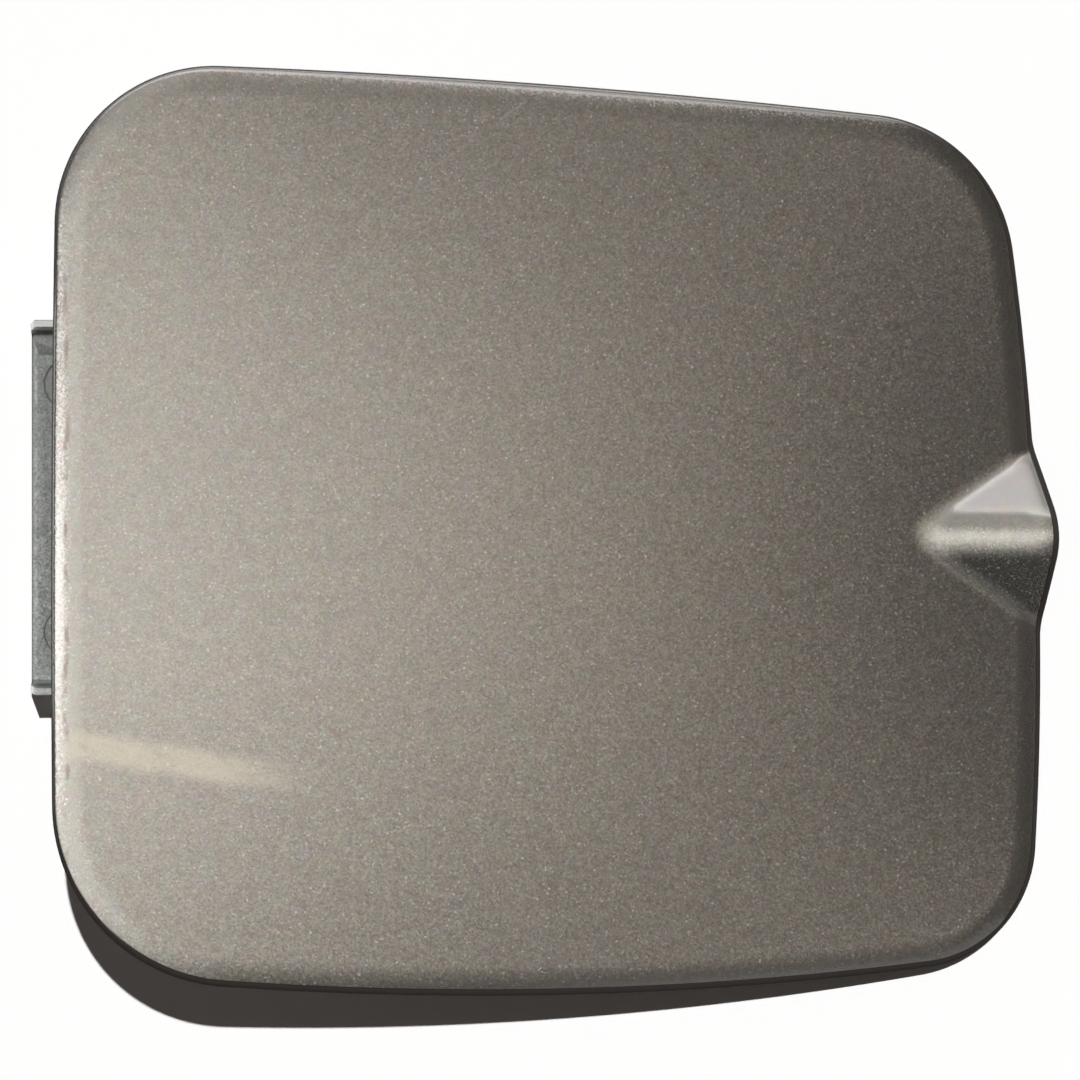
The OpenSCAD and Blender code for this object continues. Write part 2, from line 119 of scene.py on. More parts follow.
def side_run(k):
    """Outward angle of the side that leaves corner k, and how far its ends turn from it."""
    a, b = CORNERS[k], CORNERS[(k + 1) % 4]
    du, dv = b[0] - a[0], b[1] - a[1]
    reach = math.hypot(du, dv)
    length = math.sqrt(reach**2 - (a[2] - b[2]) ** 2)
    return math.atan2(dv, du) - math.acos((a[2] - b[2]) / reach), math.atan2(4 * BOWS[k], length)


def arc_points(k, n):
    """Points along the rounded corner k, with both its ends."""
    before, after = side_run(k - 1), side_run(k)
    start = before[0] + before[1]
    sweep = (after[0] - after[1] - start) % (2 * math.pi)
    u, v, r = CORNERS[k]
    return [np.array([u, v]) + r * direction(start + sweep * i / n) for i in range(n + 1)]


def side_points(k, n):
    """Points along the bowed side that leaves corner k, without its ends."""
    (outward, bend), a, b = side_run(k), CORNERS[k], CORNERS[(k + 1) % 4]
    p = np.array(a[:2]) + a[2] * direction(outward - bend)
    q = np.array(b[:2]) + b[2] * direction(outward + bend)
    ts = [i / n for i in range(1, n)]
    return [p + (q - p) * t + direction(outward) * BOWS[k] * 4 * t * (1 - t) for t in ts]


def outline(arc_n, side_n):
    """The door's outline, in steps counted for an arc and for each of the four sides."""
    points = []
    for k in range(4):
        points += arc_points(k, arc_n) + side_points(k, side_n[k])
    return np.array(points)


def ring(points, inset, share=0.0):
    """The outline set in by a distance, then drawn towards the door's middle by a share."""
    along = np.roll(points, -1, axis=0) - np.roll(points, 1, axis=0)
    along /= np.linalg.norm(along, axis=1)[:, None]
    inner = points - inset * np.stack([along[:, 1], -along[:, 0]], axis=1)
    return inner + (np.array([MID_U, MID_V]) - inner) * share


def crown(p):
    """Height of the crowned face over its edge."""
    across = 1 - (2 * (p[:, 0] - MID_U) / DOOR_W) ** 2
    return CROWN_H * across * (1 - (2 * (p[:, 1] - MID_V) / DOOR_H) ** 2)


def pull_planes(p):
    """Height of the pull's planes over the face: above 0 on the pull, below 0 round it."""
    v = p[:, 1] - (MID_V - CREST_DROP)
    slope = 2 * PULL_H / (PULL_W - CREST_W)
    fall = slope * np.where(abs(v) < CREST_W, v * v / (2 * CREST_W), abs(v) - CREST_W / 2)
    return PULL_H * (1 + (p[:, 0] - RIGHT_U) / PULL_L) - fall


def pull_rise(p):
    """Height that the pull adds, with a soft foot where its planes meet the face."""
    rise = pull_planes(p)
    return np.where(rise > FOOT_H, rise, np.maximum(rise + FOOT_H, 0) ** 2 / (4 * FOOT_H))


def edge_fall(inset):
    """How far the face has dropped towards the rim, at a distance in from the outline."""
    return EDGE_RISE * (max(0.0, EDGE_W - inset) / (EDGE_W - EDGE_IN)) ** 2


def on_face(p, drop=0.0):
    """Points on the face, or below it by a drop."""
    return np.column_stack([p, EDGE_TOP + crown(p) + pull_rise(p) - drop])


def at_rim(p, w):
    """Points at height w that rise with the pull."""
    return np.column_stack([p, w + pull_rise(p)])


def level(p, w):
    """Points at height w."""
    return np.column_stack([p, np.full(len(p), w)])


# The slope at which the rim's far side touches the table
REST_U = float(outline(10, (30, 11, 11, 11))[:, 0].max()) - RIM_R
TILT = math.asin((PIN_H - RIM_R) / math.hypot(REST_U, RIM_MID)) + math.atan2(RIM_MID, REST_U)
FROM_DOOR = Matrix.Translation((PIN_X, 0, PIN_H)) @ Matrix.Rotation(TILT, 4, "Y")


def new_object(name, points, faces):
    """A mesh object from points and faces."""
    mesh = bpy.data.meshes.new(name)
    mesh.from_pydata([tuple(p) for p in points], [], faces)
    mesh.update()
    obj = bpy.data.objects.new(name, mesh)
    bpy.context.scene.collection.objects.link(obj)
    return obj


def smooth(obj, angle_deg):
    """Shades an object smooth, apart from edges sharper than the angle."""
    for polygon in obj.data.polygons:
        polygon.use_smooth = True
    obj.data.set_sharp_from_angle(angle=math.radians(angle_deg))


def ring_solid(name, rings, first, last):
    """A closed mesh through rings of equal count, with a point at each end."""
    n, m = len(rings[0]), len(rings)
    points = np.vstack([[first], *rings, [last]])
    faces = [(0, 1 + i, 1 + (i + 1) % n) for i in range(n)]
    for k in range(m - 1):
        a = 1 + k * n
        faces += [(a + i, a + n + i, a + n + (i + 1) % n, a + (i + 1) % n) for i in range(n)]
    a = 1 + (m - 1) * n
    faces += [(m * n + 1, a + (i + 1) % n, a + i) for i in range(n)]
    return new_object(name, points, faces)


def apply_modifiers(obj):
    """Gives an object the mesh that its modifiers make."""
    graph = bpy.context.evaluated_depsgraph_get()
    mesh = bpy.data.meshes.new_from_object(obj.evaluated_get(graph))
    obj.modifiers.clear()
    obj.data = mesh


def dressed_copy(node, name, edge, angle_deg):
    """A copy of a CAD node's mesh with welded points, rounded edges and smooth shading."""
    obj = bpy.data.objects.new(name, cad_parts[node].data.copy())
    bpy.context.scene.collection.objects.link(obj)
    obj.data.materials.clear()
    bm = bmesh.new()
    bm.from_mesh(obj.data)
    bmesh.ops.remove_doubles(bm, verts=bm.verts, dist=0.002 * MM)
    bmesh.ops.dissolve_limit(bm, angle_limit=math.radians(0.2), verts=bm.verts, edges=bm.edges)
    bm.to_mesh(obj.data)
    bm.free()
    bevel = obj.modifiers.new("edge", "BEVEL")
    bevel.width = edge
    bevel.segments = 3
    bevel.limit_method = "ANGLE"
    bevel.angle_limit = math.radians(angle_deg)
    bevel.use_clamp_overlap = True
    apply_modifiers(obj)
    smooth(obj, angle_deg)
    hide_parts(node)
    return obj


def tube(name, path, radius, sides):
    """A round wire along a path of points, closed at both ends."""
    path = [Vector(p) for p in path]
    rings = []
    for i, p in enumerate(path):
        along = (path[min(i + 1, len(path) - 1)] - path[max(i - 1, 0)]).normalized()
        e = along.cross(Vector((0, 1, 0.02))).normalized()
        f = along.cross(e)
        turns = [2 * math.pi * k / sides for k in range(sides)]
        rings.append(np.array([p + radius * (math.cos(t) * e + math.sin(t) * f) for t in turns]))
    obj = ring_solid(name, rings, np.array(path[0]), np.array(path[-1]))
    bm = bmesh.new()
    bm.from_mesh(obj.data)
    bmesh.ops.recalc_face_normals(bm, faces=bm.faces)
    bm.to_mesh(obj.data)
    bm.free()
    smooth(obj, 40)
    return obj


class Nodes:
    """A node tree, with one short call for each kind of node."""

    def __init__(self, tree, coordinates):
        self.nodes = tree.nodes
        self.links = tree.links
        self.place = self.nodes.new("ShaderNodeTexCoord").outputs[coordinates]

    def feed(self, socket, value):
        if isinstance(value, bpy.types.NodeSocket):
            self.links.new(value, socket)
        else:
            socket.default_value = value

    def math(self, operation, a, b=0.0, clamp=False):
        node = self.nodes.new("ShaderNodeMath")
        node.operation = operation
        node.use_clamp = clamp
        self.feed(node.inputs[0], a)
        self.feed(node.inputs[1], b)
        return node.outputs[0]

    def line(self, value, slope, start):
        """start + slope * value."""
        out = self.math("MULTIPLY_ADD", value, slope)
        out.node.inputs[2].default_value = start
        return out

    def times(self, first, *others):
        """The product of all the values."""
        for other in others:
            first = self.math("MULTIPLY", first, other)
        return first

    def vector(self, operation, a, b=(0, 0, 0)):
        node = self.nodes.new("ShaderNodeVectorMath")
        node.operation = operation
        self.feed(node.inputs[0], a)
        self.feed(node.inputs[1], b)
        return node.outputs["Value"] if operation in ("LENGTH", "DOT_PRODUCT") else node.outputs["Vector"]

    def scaled(self, vector, size):
        out = self.vector("SCALE", vector)
        self.feed(out.node.inputs["Scale"], size)
        return out

    def part(self, vector, axis):
        node = self.nodes.new("ShaderNodeSeparateXYZ")
        self.feed(node.inputs[0], vector)
        return node.outputs[axis]

    def noise(self, scale, detail=2.0, rough=0.5, place=None):
        node = self.nodes.new("ShaderNodeTexNoise")
        self.feed(node.inputs["Vector"], place or self.place)
        node.inputs["Scale"].default_value = scale
        node.inputs["Detail"].default_value = detail
        node.inputs["Roughness"].default_value = rough
        return node.outputs["Fac"]

    def cells(self, scale):
        """Voronoi cells: a random colour for each cell, and the distance to its middle."""
        node = self.nodes.new("ShaderNodeTexVoronoi")
        self.feed(node.inputs["Vector"], self.place)
        node.inputs["Scale"].default_value = scale
        return node.outputs["Color"], node.outputs["Distance"]

    def step(self, value, low, high):
        """A smooth change from 0 at low to 1 at high. Low may be the larger of the two."""
        node = self.nodes.new("ShaderNodeMapRange")
        node.interpolation_type = "SMOOTHSTEP"
        self.feed(node.inputs["Value"], value)
        node.inputs["From Min"].default_value = low
        node.inputs["From Max"].default_value = high
        return node.outputs["Result"]

    def mix(self, share, a, b, blend="MIX"):
        node = self.nodes.new("ShaderNodeMix")
        node.data_type = "RGBA"
        node.blend_type = blend
        self.feed(node.inputs["Factor"], share)
        self.feed(node.inputs["A"], colour(a))
        self.feed(node.inputs["B"], colour(b))
        return node.outputs["Result"]

    def bump(self, height, distance, strength=1.0):
        node = self.nodes.new("ShaderNodeBump")
        node.inputs["Strength"].default_value = strength
        node.inputs["Distance"].default_value = distance
        self.feed(node.inputs["Height"], height)
        return node.outputs["Normal"]

    def near_line(self, start, end, width):
        """1 on the straight line from start to end, seen along z, and 0 beyond its width."""
        a, b = Vector(start), Vector(end)
        along = (b - a).normalized()
        off = self.vector("SUBTRACT", self.place, (a.x, a.y, 0))
        run = self.vector("DOT_PRODUCT", off, (along.x, along.y, 0))
        side = self.vector("DOT_PRODUCT", off, (-along.y, along.x, 0))
        length = (b - a).length
        inside = self.math("MULTIPLY", self.step(run, 0, width), self.step(run, length, length - width))
        return self.math("MULTIPLY", inside, self.step(self.math("ABSOLUTE", side), width, width * 0.3))


class Shader(Nodes):
    """A material with one Principled surface."""

    def __init__(self, name):
        self.material = bpy.data.materials.new(name)
        self.material.use_nodes = True
        super().__init__(self.material.node_tree, "Object")
        self.surface = self.nodes["Principled BSDF"]

    def set(self, **values):
        for name, value in values.items():
            self.feed(self.surface.inputs[name.replace("_", " ")], value)

    def assign(self, *objects):
        for obj in objects:
            obj.data.materials.clear()
            obj.data.materials.append(self.material)


def colour(value):
    return value if isinstance(value, bpy.types.NodeSocket) else (*value[:3], 1.0)


PAINT_ROUGHNESS = 0.24


def metallic_paint(
    name, base, dark, flake, coat, metallic=0.95, roughness=PAINT_ROUGHNESS, sparkle=1.0
):
    """Flake paint under clear coat: a fine mottle, blotchy tints, and flakes that lie askew.

    A few strong flakes are paler and lean more. All of it fades where a face looks up the door
    (+Y), which stands in for the smooth reflection there. Where a face looks down it, the strong
    flakes are less metallic, so that the lamp lights them as pale dots that stand in for glints.
    """
    s = Shader(name)
    askew, _ = s.cells(3500)
    pick = s.part(askew, "Z")
    upright = s.nodes.new("ShaderNodeNewGeometry").outputs["Normal"]
    facing = s.part(upright, "Y")
    plain = s.step(facing, 0.5, 0.25)
    strong = s.times(s.step(pick, 0.86, 1.0), plain)
    mottle = s.times(s.math("SUBTRACT", s.noise(2300, 3, 0.8), 0.5), 2.6)
    blotch = s.times(s.math("SUBTRACT", s.noise(520, 3), 0.5), 0.9)
    tone = s.times(s.math("ADD", mottle, blotch), plain)
    body = s.mix(s.math("ADD", tone, 0.5, clamp=True), dark, base)
    body = s.mix(0.1, body, s.noise(420, 3).node.outputs["Color"], "OVERLAY")
    body = s.mix(0.03, body, askew, "OVERLAY")
    s.set(Base_Color=s.mix(s.times(s.math("POWER", strong, 3.0), 0.27), body, flake))
    size = s.times(s.line(strong, 0.06 * sparkle, 0.08 * sparkle), plain)
    lean = s.scaled(s.vector("SUBTRACT", askew, (0.55, 0.5, 0.5)), size)
    s.set(Normal=s.vector("NORMALIZE", s.vector("ADD", upright, lean)))
    lit = s.times(strong, s.step(facing, -0.3, -0.5), 0.2)
    s.set(Metallic=s.math("SUBTRACT", metallic, lit))
    s.set(Roughness=roughness, Coat_Weight=coat, Coat_Roughness=0.05, Coat_IOR=1.5)
    return s


def wear_and_painted_light(s, share, stain_and_painted_light, cover=1.0):
    """Puts a colour over the paint, which dulls its metal by the same share. It carries stains,
    dirt and wear in some places, and painted shade and painted highlights in others.

    A dark colour takes a cover above 1: it hides the pale paint before the metal has gone.
    """
    shown = s.surface.inputs["Base Color"].links[0].from_socket
    metal = s.surface.inputs["Metallic"]
    metal = metal.links[0].from_socket if metal.links else metal.default_value
    s.set(Base_Color=s.mix(s.math("MULTIPLY", share, cover, clamp=True), shown, stain_and_painted_light))
    s.set(Metallic=s.times(s.math("SUBTRACT", 1.0, share), metal))


def door_paint():
    """Warm grey-beige metallic with a pale smear, dirt at the hinge side and fine scratches."""
    base, dark, flake = (0.56, 0.54, 0.495), (0.44, 0.42, 0.38), (0.95, 0.93, 0.9)
    s = metallic_paint("door_paint", base, dark, flake, coat=1.0)
    s.set(Coat_Normal=s.bump(s.noise(260, 2), 0.012 * MM))
    across = s.part(s.place, "X")
    # The smear, rubbed thin in patches, which fades towards the pull
    thin = s.step(s.noise(170, 4, 0.65), 0.15, 0.55)
    smear = s.near_line((2.9 * MM, -37.3 * MM), (46 * MM, -44.6 * MM), 3.4 * MM)
    fade = s.math("ADD", s.step(across, 44 * MM, 26 * MM), 0.15)
    wear_and_painted_light(s, s.times(smear, fade, thin, 0.5), (0.72, 0.65, 0.5))
    # The broken line of dirt, which wavers along the hinge side
    waver = s.line(s.noise(120, 3), -2.4 * MM, -3.5 * MM)
    off = s.math("ABSOLUTE", s.math("ADD", across, waver))
    patch = s.step(s.noise(150, 3, 0.6), 0.46, 0.6)
    wear_and_painted_light(s, s.times(s.step(off, 0.55 * MM, 0.1 * MM), patch, 0.5), (0.22, 0.15, 0.1))
    # Two scratches near the top
    long = s.near_line((61.2 * MM, 54.1 * MM), (69.0 * MM, 59.4 * MM), 0.16 * MM)
    short = s.near_line((73.0 * MM, 62.8 * MM), (77.7 * MM, 66.1 * MM), 0.2 * MM)
    wear_and_painted_light(s, s.math("ADD", s.times(long, 0.09), s.times(short, 0.14)), (0.5, 0.48, 0.46))
    for x, y, r in SPECKS:
        off = s.vector("MULTIPLY", s.vector("SUBTRACT", s.place, (x, y, 0)), (1, 1, 0))
        wear_and_painted_light(s, s.times(s.step(s.vector("LENGTH", off), r, r * 0.5), 0.6), (0.04, 0.035, 0.03))
    # Painted shade and dirt on the rim, as written on the mesh: it hides the paint and dulls the coat
    mark = s.nodes.new("ShaderNodeAttribute")
    mark.attribute_name = "rim_shade_and_dirt"
    rim_shade_and_dirt = mark.outputs["Fac"]
    wear_and_painted_light(s, rim_shade_and_dirt, (0.042, 0.037, 0.034), cover=4.0)
    s.set(Coat_Weight=s.math("SUBTRACT", 1.0, rim_shade_and_dirt), IOR=1.03)
    s.set(Roughness=s.line(s.math("POWER", rim_shade_and_dirt, 4.0), 0.5, PAINT_ROUGHNESS))
    return s


def bracket_paint():
    """Darker, slightly green grey. Its bolt seats are primer, and its cut edges carry painted highlights
    and painted shade.
    """
    base, dark, flake = (0.42, 0.45, 0.435), (0.14, 0.152, 0.148), (0.8, 0.83, 0.82)
    s = metallic_paint(
        "bracket_paint", base, dark, flake, coat=0.6, metallic=0.9, roughness=0.4, sparkle=2.2
    )
    out, along, height = (s.part(s.place, axis) for axis in "XYZ")
    upper = s.step(along, -5 * MM, 5 * MM)
    # Darker and duller towards the top
    wear_and_painted_light(s, s.times(s.step(along, -18 * MM, 30 * MM), 0.45), (0.12, 0.128, 0.124))
    # The two bolt seats, the upper one bare, each with a line of painted shade round its uneven border,
    # for the pressed step
    flat = s.vector("MULTIPLY", s.vector("ABSOLUTE", s.place), (1, 1, 0))
    away = s.vector("LENGTH", s.vector("SUBTRACT", flat, (0, BOLT_GAP / 2, 0)))
    away = s.math("ADD", away, s.line(s.noise(900, 2), 0.5 * MM, -0.25 * MM))
    low = s.step(height, PLATE_T * 2.5, PLATE_T * 1.5)
    bare = s.math("ADD", upper, 0.25, clamp=True)
    primer = s.mix(s.noise(1200, 3), (0.13, 0.132, 0.13), (0.2, 0.2, 0.196))
    wear_and_painted_light(s, s.times(s.step(away, SEAT_R * 1.03, SEAT_R * 0.97), low, bare), primer)
    seat_step_shade = s.step(s.math("ABSOLUTE", s.math("SUBTRACT", away, SEAT_R)), 0.3 * MM, 0.05 * MM)
    wear_and_painted_light(s, s.times(seat_step_shade, 0.7), (0.05, 0.05, 0.05))
    # The plate's outer cut, painted dark as shade, and a broken painted highlight just inside it, for its
    # rounded edge
    wear_and_painted_light(s, s.times(s.step(out, -5.95 * MM, -6.15 * MM), 0.8), (0.03, 0.03, 0.03))
    edge_highlight = s.step(s.math("ABSOLUTE", s.math("ADD", out, 5.6 * MM)), 0.35 * MM, 0.1 * MM)
    wear_and_painted_light(s, s.times(edge_highlight, s.step(s.noise(800, 3), 0.4, 0.65), 0.5), (0.55, 0.55, 0.5))
    # The ears' cut edges, with a painted highlight that is stronger at the upper ear
    ear = s.math("ABSOLUTE", s.math("SUBTRACT", s.part(flat, "Y"), EAR_MID))
    cut = s.times(s.step(ear, PLATE_T * 0.48, PLATE_T * 0.36), s.step(height, 3 * MM, 6 * MM))
    wear_and_painted_light(s, s.times(cut, s.line(upper, 0.5, 0.3)), (0.62, 0.61, 0.59))
    return s


def inner_paint():
    """The same paint, thin and dry on the inner sheets."""
    base, dark, flake = (0.33, 0.315, 0.29), (0.19, 0.18, 0.165), (0.8, 0.78, 0.74)
    s = metallic_paint("inner_paint", base, dark, flake, coat=0.25, metallic=0.6, roughness=0.5)
    painted = s.surface.inputs["Base Color"].links[0].from_socket
    dust = s.times(s.step(s.noise(70, 4, 0.65), 0.48, 0.75), 0.35)
    s.set(Base_Color=s.mix(dust, painted, (0.30, 0.27, 0.22)))
    return s


def zinc():
    s = Shader("zinc_plate")
    grain = s.part(s.cells(1600)[0], "Z")
    tone = s.math("ADD", s.times(grain, 0.35), s.times(s.noise(300, 3), 0.6), clamp=True)
    s.set(Base_Color=s.mix(tone, (0.42, 0.42, 0.41), (0.68, 0.68, 0.66)), Metallic=1.0)
    s.set(Roughness=s.line(s.noise(200, 3), 0.3, 0.22))
    s.set(Normal=s.bump(s.noise(900, 2), 0.01 * MM))
    return s


def spring_steel():
    s = Shader("spring_steel")
    stretched = s.vector("MULTIPLY", s.place, (1, 6, 1))
    tone = s.noise(700, 4, 0.6, stretched)
    s.set(Base_Color=s.mix(tone, (0.14, 0.14, 0.145), (0.42, 0.42, 0.43)), Metallic=1.0, Roughness=0.32)
    s.set(Normal=s.bump(tone, 0.02 * MM))
    return s


def nylon():
    s = Shader("nylon")
    s.set(Base_Color=s.mix(s.noise(400, 3), (0.66, 0.62, 0.52), (0.78, 0.75, 0.66)), Roughness=0.42)
    s.set(Subsurface_Weight=0.15, Subsurface_Scale=0.001, Normal=s.bump(s.noise(1500, 2), 0.01 * MM))
    return s


def rubber():
    s = Shader("bumper_rubber")
    bloom = s.step(s.noise(450, 4, 0.6), 0.45, 0.8)
    s.set(Base_Color=s.mix(bloom, (0.018, 0.018, 0.018), (0.06, 0.058, 0.055)), Roughness=0.72)
    s.set(Normal=s.bump(s.noise(2500, 2), 0.03 * MM))
    return s


def sealer():
    s = Shader("sealer")
    s.set(Base_Color=s.mix(s.noise(300, 3), (0.03, 0.032, 0.034), (0.07, 0.072, 0.075)), Roughness=0.6)
    s.set(Normal=s.bump(s.noise(500, 4), 0.15 * MM))
    return s


def moulded_plastic():
    s = Shader("moulded_plastic")
    _, grain = s.cells(2600)
    s.set(Base_Color=s.mix(s.noise(200, 3), (0.028, 0.029, 0.031), (0.05, 0.051, 0.054)), Roughness=0.5)
    s.set(Normal=s.bump(grain, 0.03 * MM, 0.7))
    return s


def skin_shade_and_dirt(o, face, rim_angles):
    """How much painted shade and dirt the skin's points carry, from its middle over the face to the
    end of the rim.

    Painted shade and dirt climb highest up the rim on the pull side and the lower side, which face
    away from the light, and end most sharply there; they climb least beside the hinge, where the
    rim's highlight shows. They thin towards the rim's back. A little painted shade lies in the
    crease where the pull's lower plane meets the face.
    """
    outward = (o - ring(o, MM)) / MM
    # The pull side and the lower side face away from the light and take the most painted shade
    shaded_side = np.clip(np.maximum(outward[:, 0], -outward[:, 1]), 0, 1)
    # Less painted shade beside the middle of the hinge side, where the rim's highlight shows
    lit_rim_half, lit_rim_fade = 38 * MM, 8 * MM
    lit_rim = np.clip((-outward[:, 0] - 0.9) * 10, 0, 1)
    lit_rim *= np.clip((lit_rim_half - abs(o[:, 1])) / lit_rim_fade, 0, 1)
    start = np.radians(48 + 40 * shaded_side - 10 * lit_rim)
    width = np.radians(24 - 12 * shaded_side)
    # Painted shade in the crease below the pull's crest
    below_crest = np.clip((MID_V - 3 * MM - face[:, 1]) / (4 * MM), 0, 1)
    crease_shade = np.exp(-((pull_planes(face) / MM) ** 2)) * below_crest
    shares = [0.0, *(0.1 * crease_shade)]
    for a in rim_angles:
        behind = 1 - 0.55 * np.clip(-(a + 0.35) / 0.9, 0, 1)
        shares += list(np.clip((start - a) / width, 0, 1) * behind)
    return shares


def door_skin():
    """The painted sheet: crowned face, pull, rolled rim and folded hem, in fine rings."""
    o = outline(40, (220, 60, 60, 60))
    fold_r = RIM_R - SKIN_T
    band_end = 6 * MM
    # The hem's hidden back carries a share of painted shade and dirt
    hidden_shade_and_dirt = 0.45
    draws = [*np.linspace(0.97, 0.37, 11), *np.linspace(0.35, 0.0, 46)]
    inner = [on_face(ring(o, band_end, s)) for s in draws]
    band = [on_face(ring(o, d), edge_fall(d)) for d in np.linspace(band_end, EDGE_IN, 18)[1:-1]]
    rim = []
    rim_angles = np.linspace(math.pi / 2 - EDGE_SLOPE, -math.pi / 2, 19)
    for a in rim_angles:
        p = ring(o, RIM_R * (1 - math.cos(a)))
        rim.append(at_rim(p, RIM_MID + RIM_R * math.sin(a) + crown(p) * max(0.0, math.sin(a))))
    hem = [at_rim(ring(o, d), BACK_W) for d in np.linspace(RIM_R * 2, HEM_W, 6)]
    turned = [at_rim(ring(o, d), BACK_W + SKIN_T) for d in np.linspace(HEM_W, RIM_R * 2, 4)]
    fold = []
    for a in np.linspace(-90, 90, 7):
        a = math.radians(a)
        fold.append(at_rim(ring(o, RIM_R - fold_r * math.cos(a)), RIM_MID + fold_r * math.sin(a)))
    under = [on_face(ring(o, d), SKIN_T) for d in (EDGE_W, band_end)]
    back = [on_face(ring(o, band_end, s), SKIN_T) for s in (*np.linspace(0.02, 0.35, 16), 0.5, 0.7, 0.95)]
    middle = on_face(np.array([[MID_U, MID_V]]))[0]
    rings = inner + band + rim + hem + turned + fold + under + back
    skin = ring_solid("door_skin", rings, middle, middle - [0, 0, SKIN_T])
    skin.data.transform(FROM_DOOR)
    # The rim's painted shade and dirt, one value for each point
    rim_shade_and_dirt = skin.data.attributes.new("rim_shade_and_dirt", "FLOAT", "POINT")
    shares = skin_shade_and_dirt(o, np.vstack(inner + band), rim_angles)
    shares += [hidden_shade_and_dirt] * (len(rim_shade_and_dirt.data) - len(shares))
    rim_shade_and_dirt.data.foreach_set("value", shares)
    smooth(skin, 40)
    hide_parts("outer_panel")
    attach(skin, "door")
    return skin


# The pressed inner sheet, as in the part's source
INNER_T = 0.7 * MM
FIELD_DROP = 2 * MM
STEP_W = 14 * MM
FLANGE_IN = 10 * MM
BEAD_H = 1.4 * MM
FLANGE_W = BACK_W + SKIN_T + 0.15 * MM
FIELD_W = FLANGE_W - FIELD_DROP
NOTCH_U = RIGHT_U - PULL_L - 3 * MM
NOTCH_HALF = PULL_W / 2 + 4 * MM
RIVET_HOLES = [(u * MM, v * MM, 2.02 * MM) for u in (3.5, 20) for v in (-18, 18)]
BUMPER_HOLES = [(RIGHT_U - 28 * MM, MID_V + v * MM, 2.625 * MM) for v in (-38, 38)]
HOOK_HOLES = [(MID_U + u * MM, MID_V, 2.15 * MM) for u in (-8, 8)]
DRAIN_V = BOTTOM_V + STEP_W + 10 * MM
DRAIN_HOLES = [(MID_U + u * DOOR_W * 0.2, DRAIN_V, 2.5 * MM) for u in (-1, 1)]
HOLES = RIVET_HOLES + BUMPER_HOLES + HOOK_HOLES + DRAIN_HOLES


def ease(t):
    """A smooth rise from 0 to 1."""
    return t * t * (3 - 2 * t)


def cut_box(name, low, high):
    """A box between two opposite corners."""
    (a, b, c), (d, e, f) = low, high
    points = [(x, y, z) for z in (c, f) for x, y in ((a, b), (d, b), (d, e), (a, e))]
    faces = [(0, 3, 2, 1), (4, 5, 6, 7), (0, 1, 5, 4), (1, 2, 6, 5), (2, 3, 7, 6), (3, 0, 4, 7)]
    return new_object(name, points, faces)


def cut_post(name, u, v, r, low, high):
    """A round post along w."""
    turns = [2 * math.pi * k / 40 for k in range(40)]
    rings = [np.array([(u + r * math.cos(t), v + r * math.sin(t), w) for t in turns]) for w in (high, low)]
    return ring_solid(name, rings, np.array([u, v, high]), np.array([u, v, low]))


def inner_tray():
    """The pressed inner sheet with soft folds, its holes, and the notch behind the pull."""
    o = outline(24, (80, 30, 30, 30))
    turns = np.linspace(0, 1, 9)
    top = [level(ring(o, STEP_W, s), FIELD_W) for s in (0.95, 0.85)]
    top += [level(ring(o, STEP_W, 0.7 - 0.05 * t), FIELD_W + BEAD_H * ease(t)) for t in turns]
    top += [level(ring(o, STEP_W, 0.56 - 0.05 * t), FIELD_W + BEAD_H * (1 - ease(t))) for t in turns]
    top += [level(ring(o, STEP_W, s), FIELD_W) for s in (0.4, 0.25, 0.12, 0.04)]
    slope = FLANGE_IN - STEP_W
    top += [level(ring(o, STEP_W + slope * t), FIELD_W + FIELD_DROP * ease(t)) for t in turns]
    top += [level(ring(o, d * MM), FLANGE_W) for d in (7, 4.5, 2.1)]
    raised = [r + [0, 0, INNER_T] for r in top]
    edge = [level(ring(o, 2 * MM), FLANGE_W + INNER_T * t) for t in (0.8, 0.2)]
    middle = np.array([MID_U, MID_V, FIELD_W])
    tray = ring_solid("inner_tray", raised + edge + top[::-1], middle + [0, 0, INNER_T], middle)
    deep = 20 * MM
    cutters = [cut_post("hole", u, v, r, 0, deep) for u, v, r in HOLES]
    low, high = (NOTCH_U, MID_V - NOTCH_HALF, 0), (RIGHT_U + deep, MID_V + NOTCH_HALF, deep)
    cutters.append(cut_box("notch", low, high))
    for cutter in cutters:
        cut = tray.modifiers.new("cut", "BOOLEAN")
        cut.operation = "DIFFERENCE"
        cut.solver = "EXACT"
        cut.object = cutter
    apply_modifiers(tray)
    for cutter in cutters:
        bpy.data.objects.remove(cutter)
    tray.data.transform(FROM_DOOR)
    smooth(tray, 40)
    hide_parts("inner_panel")
    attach(tray, "door")
    return tray


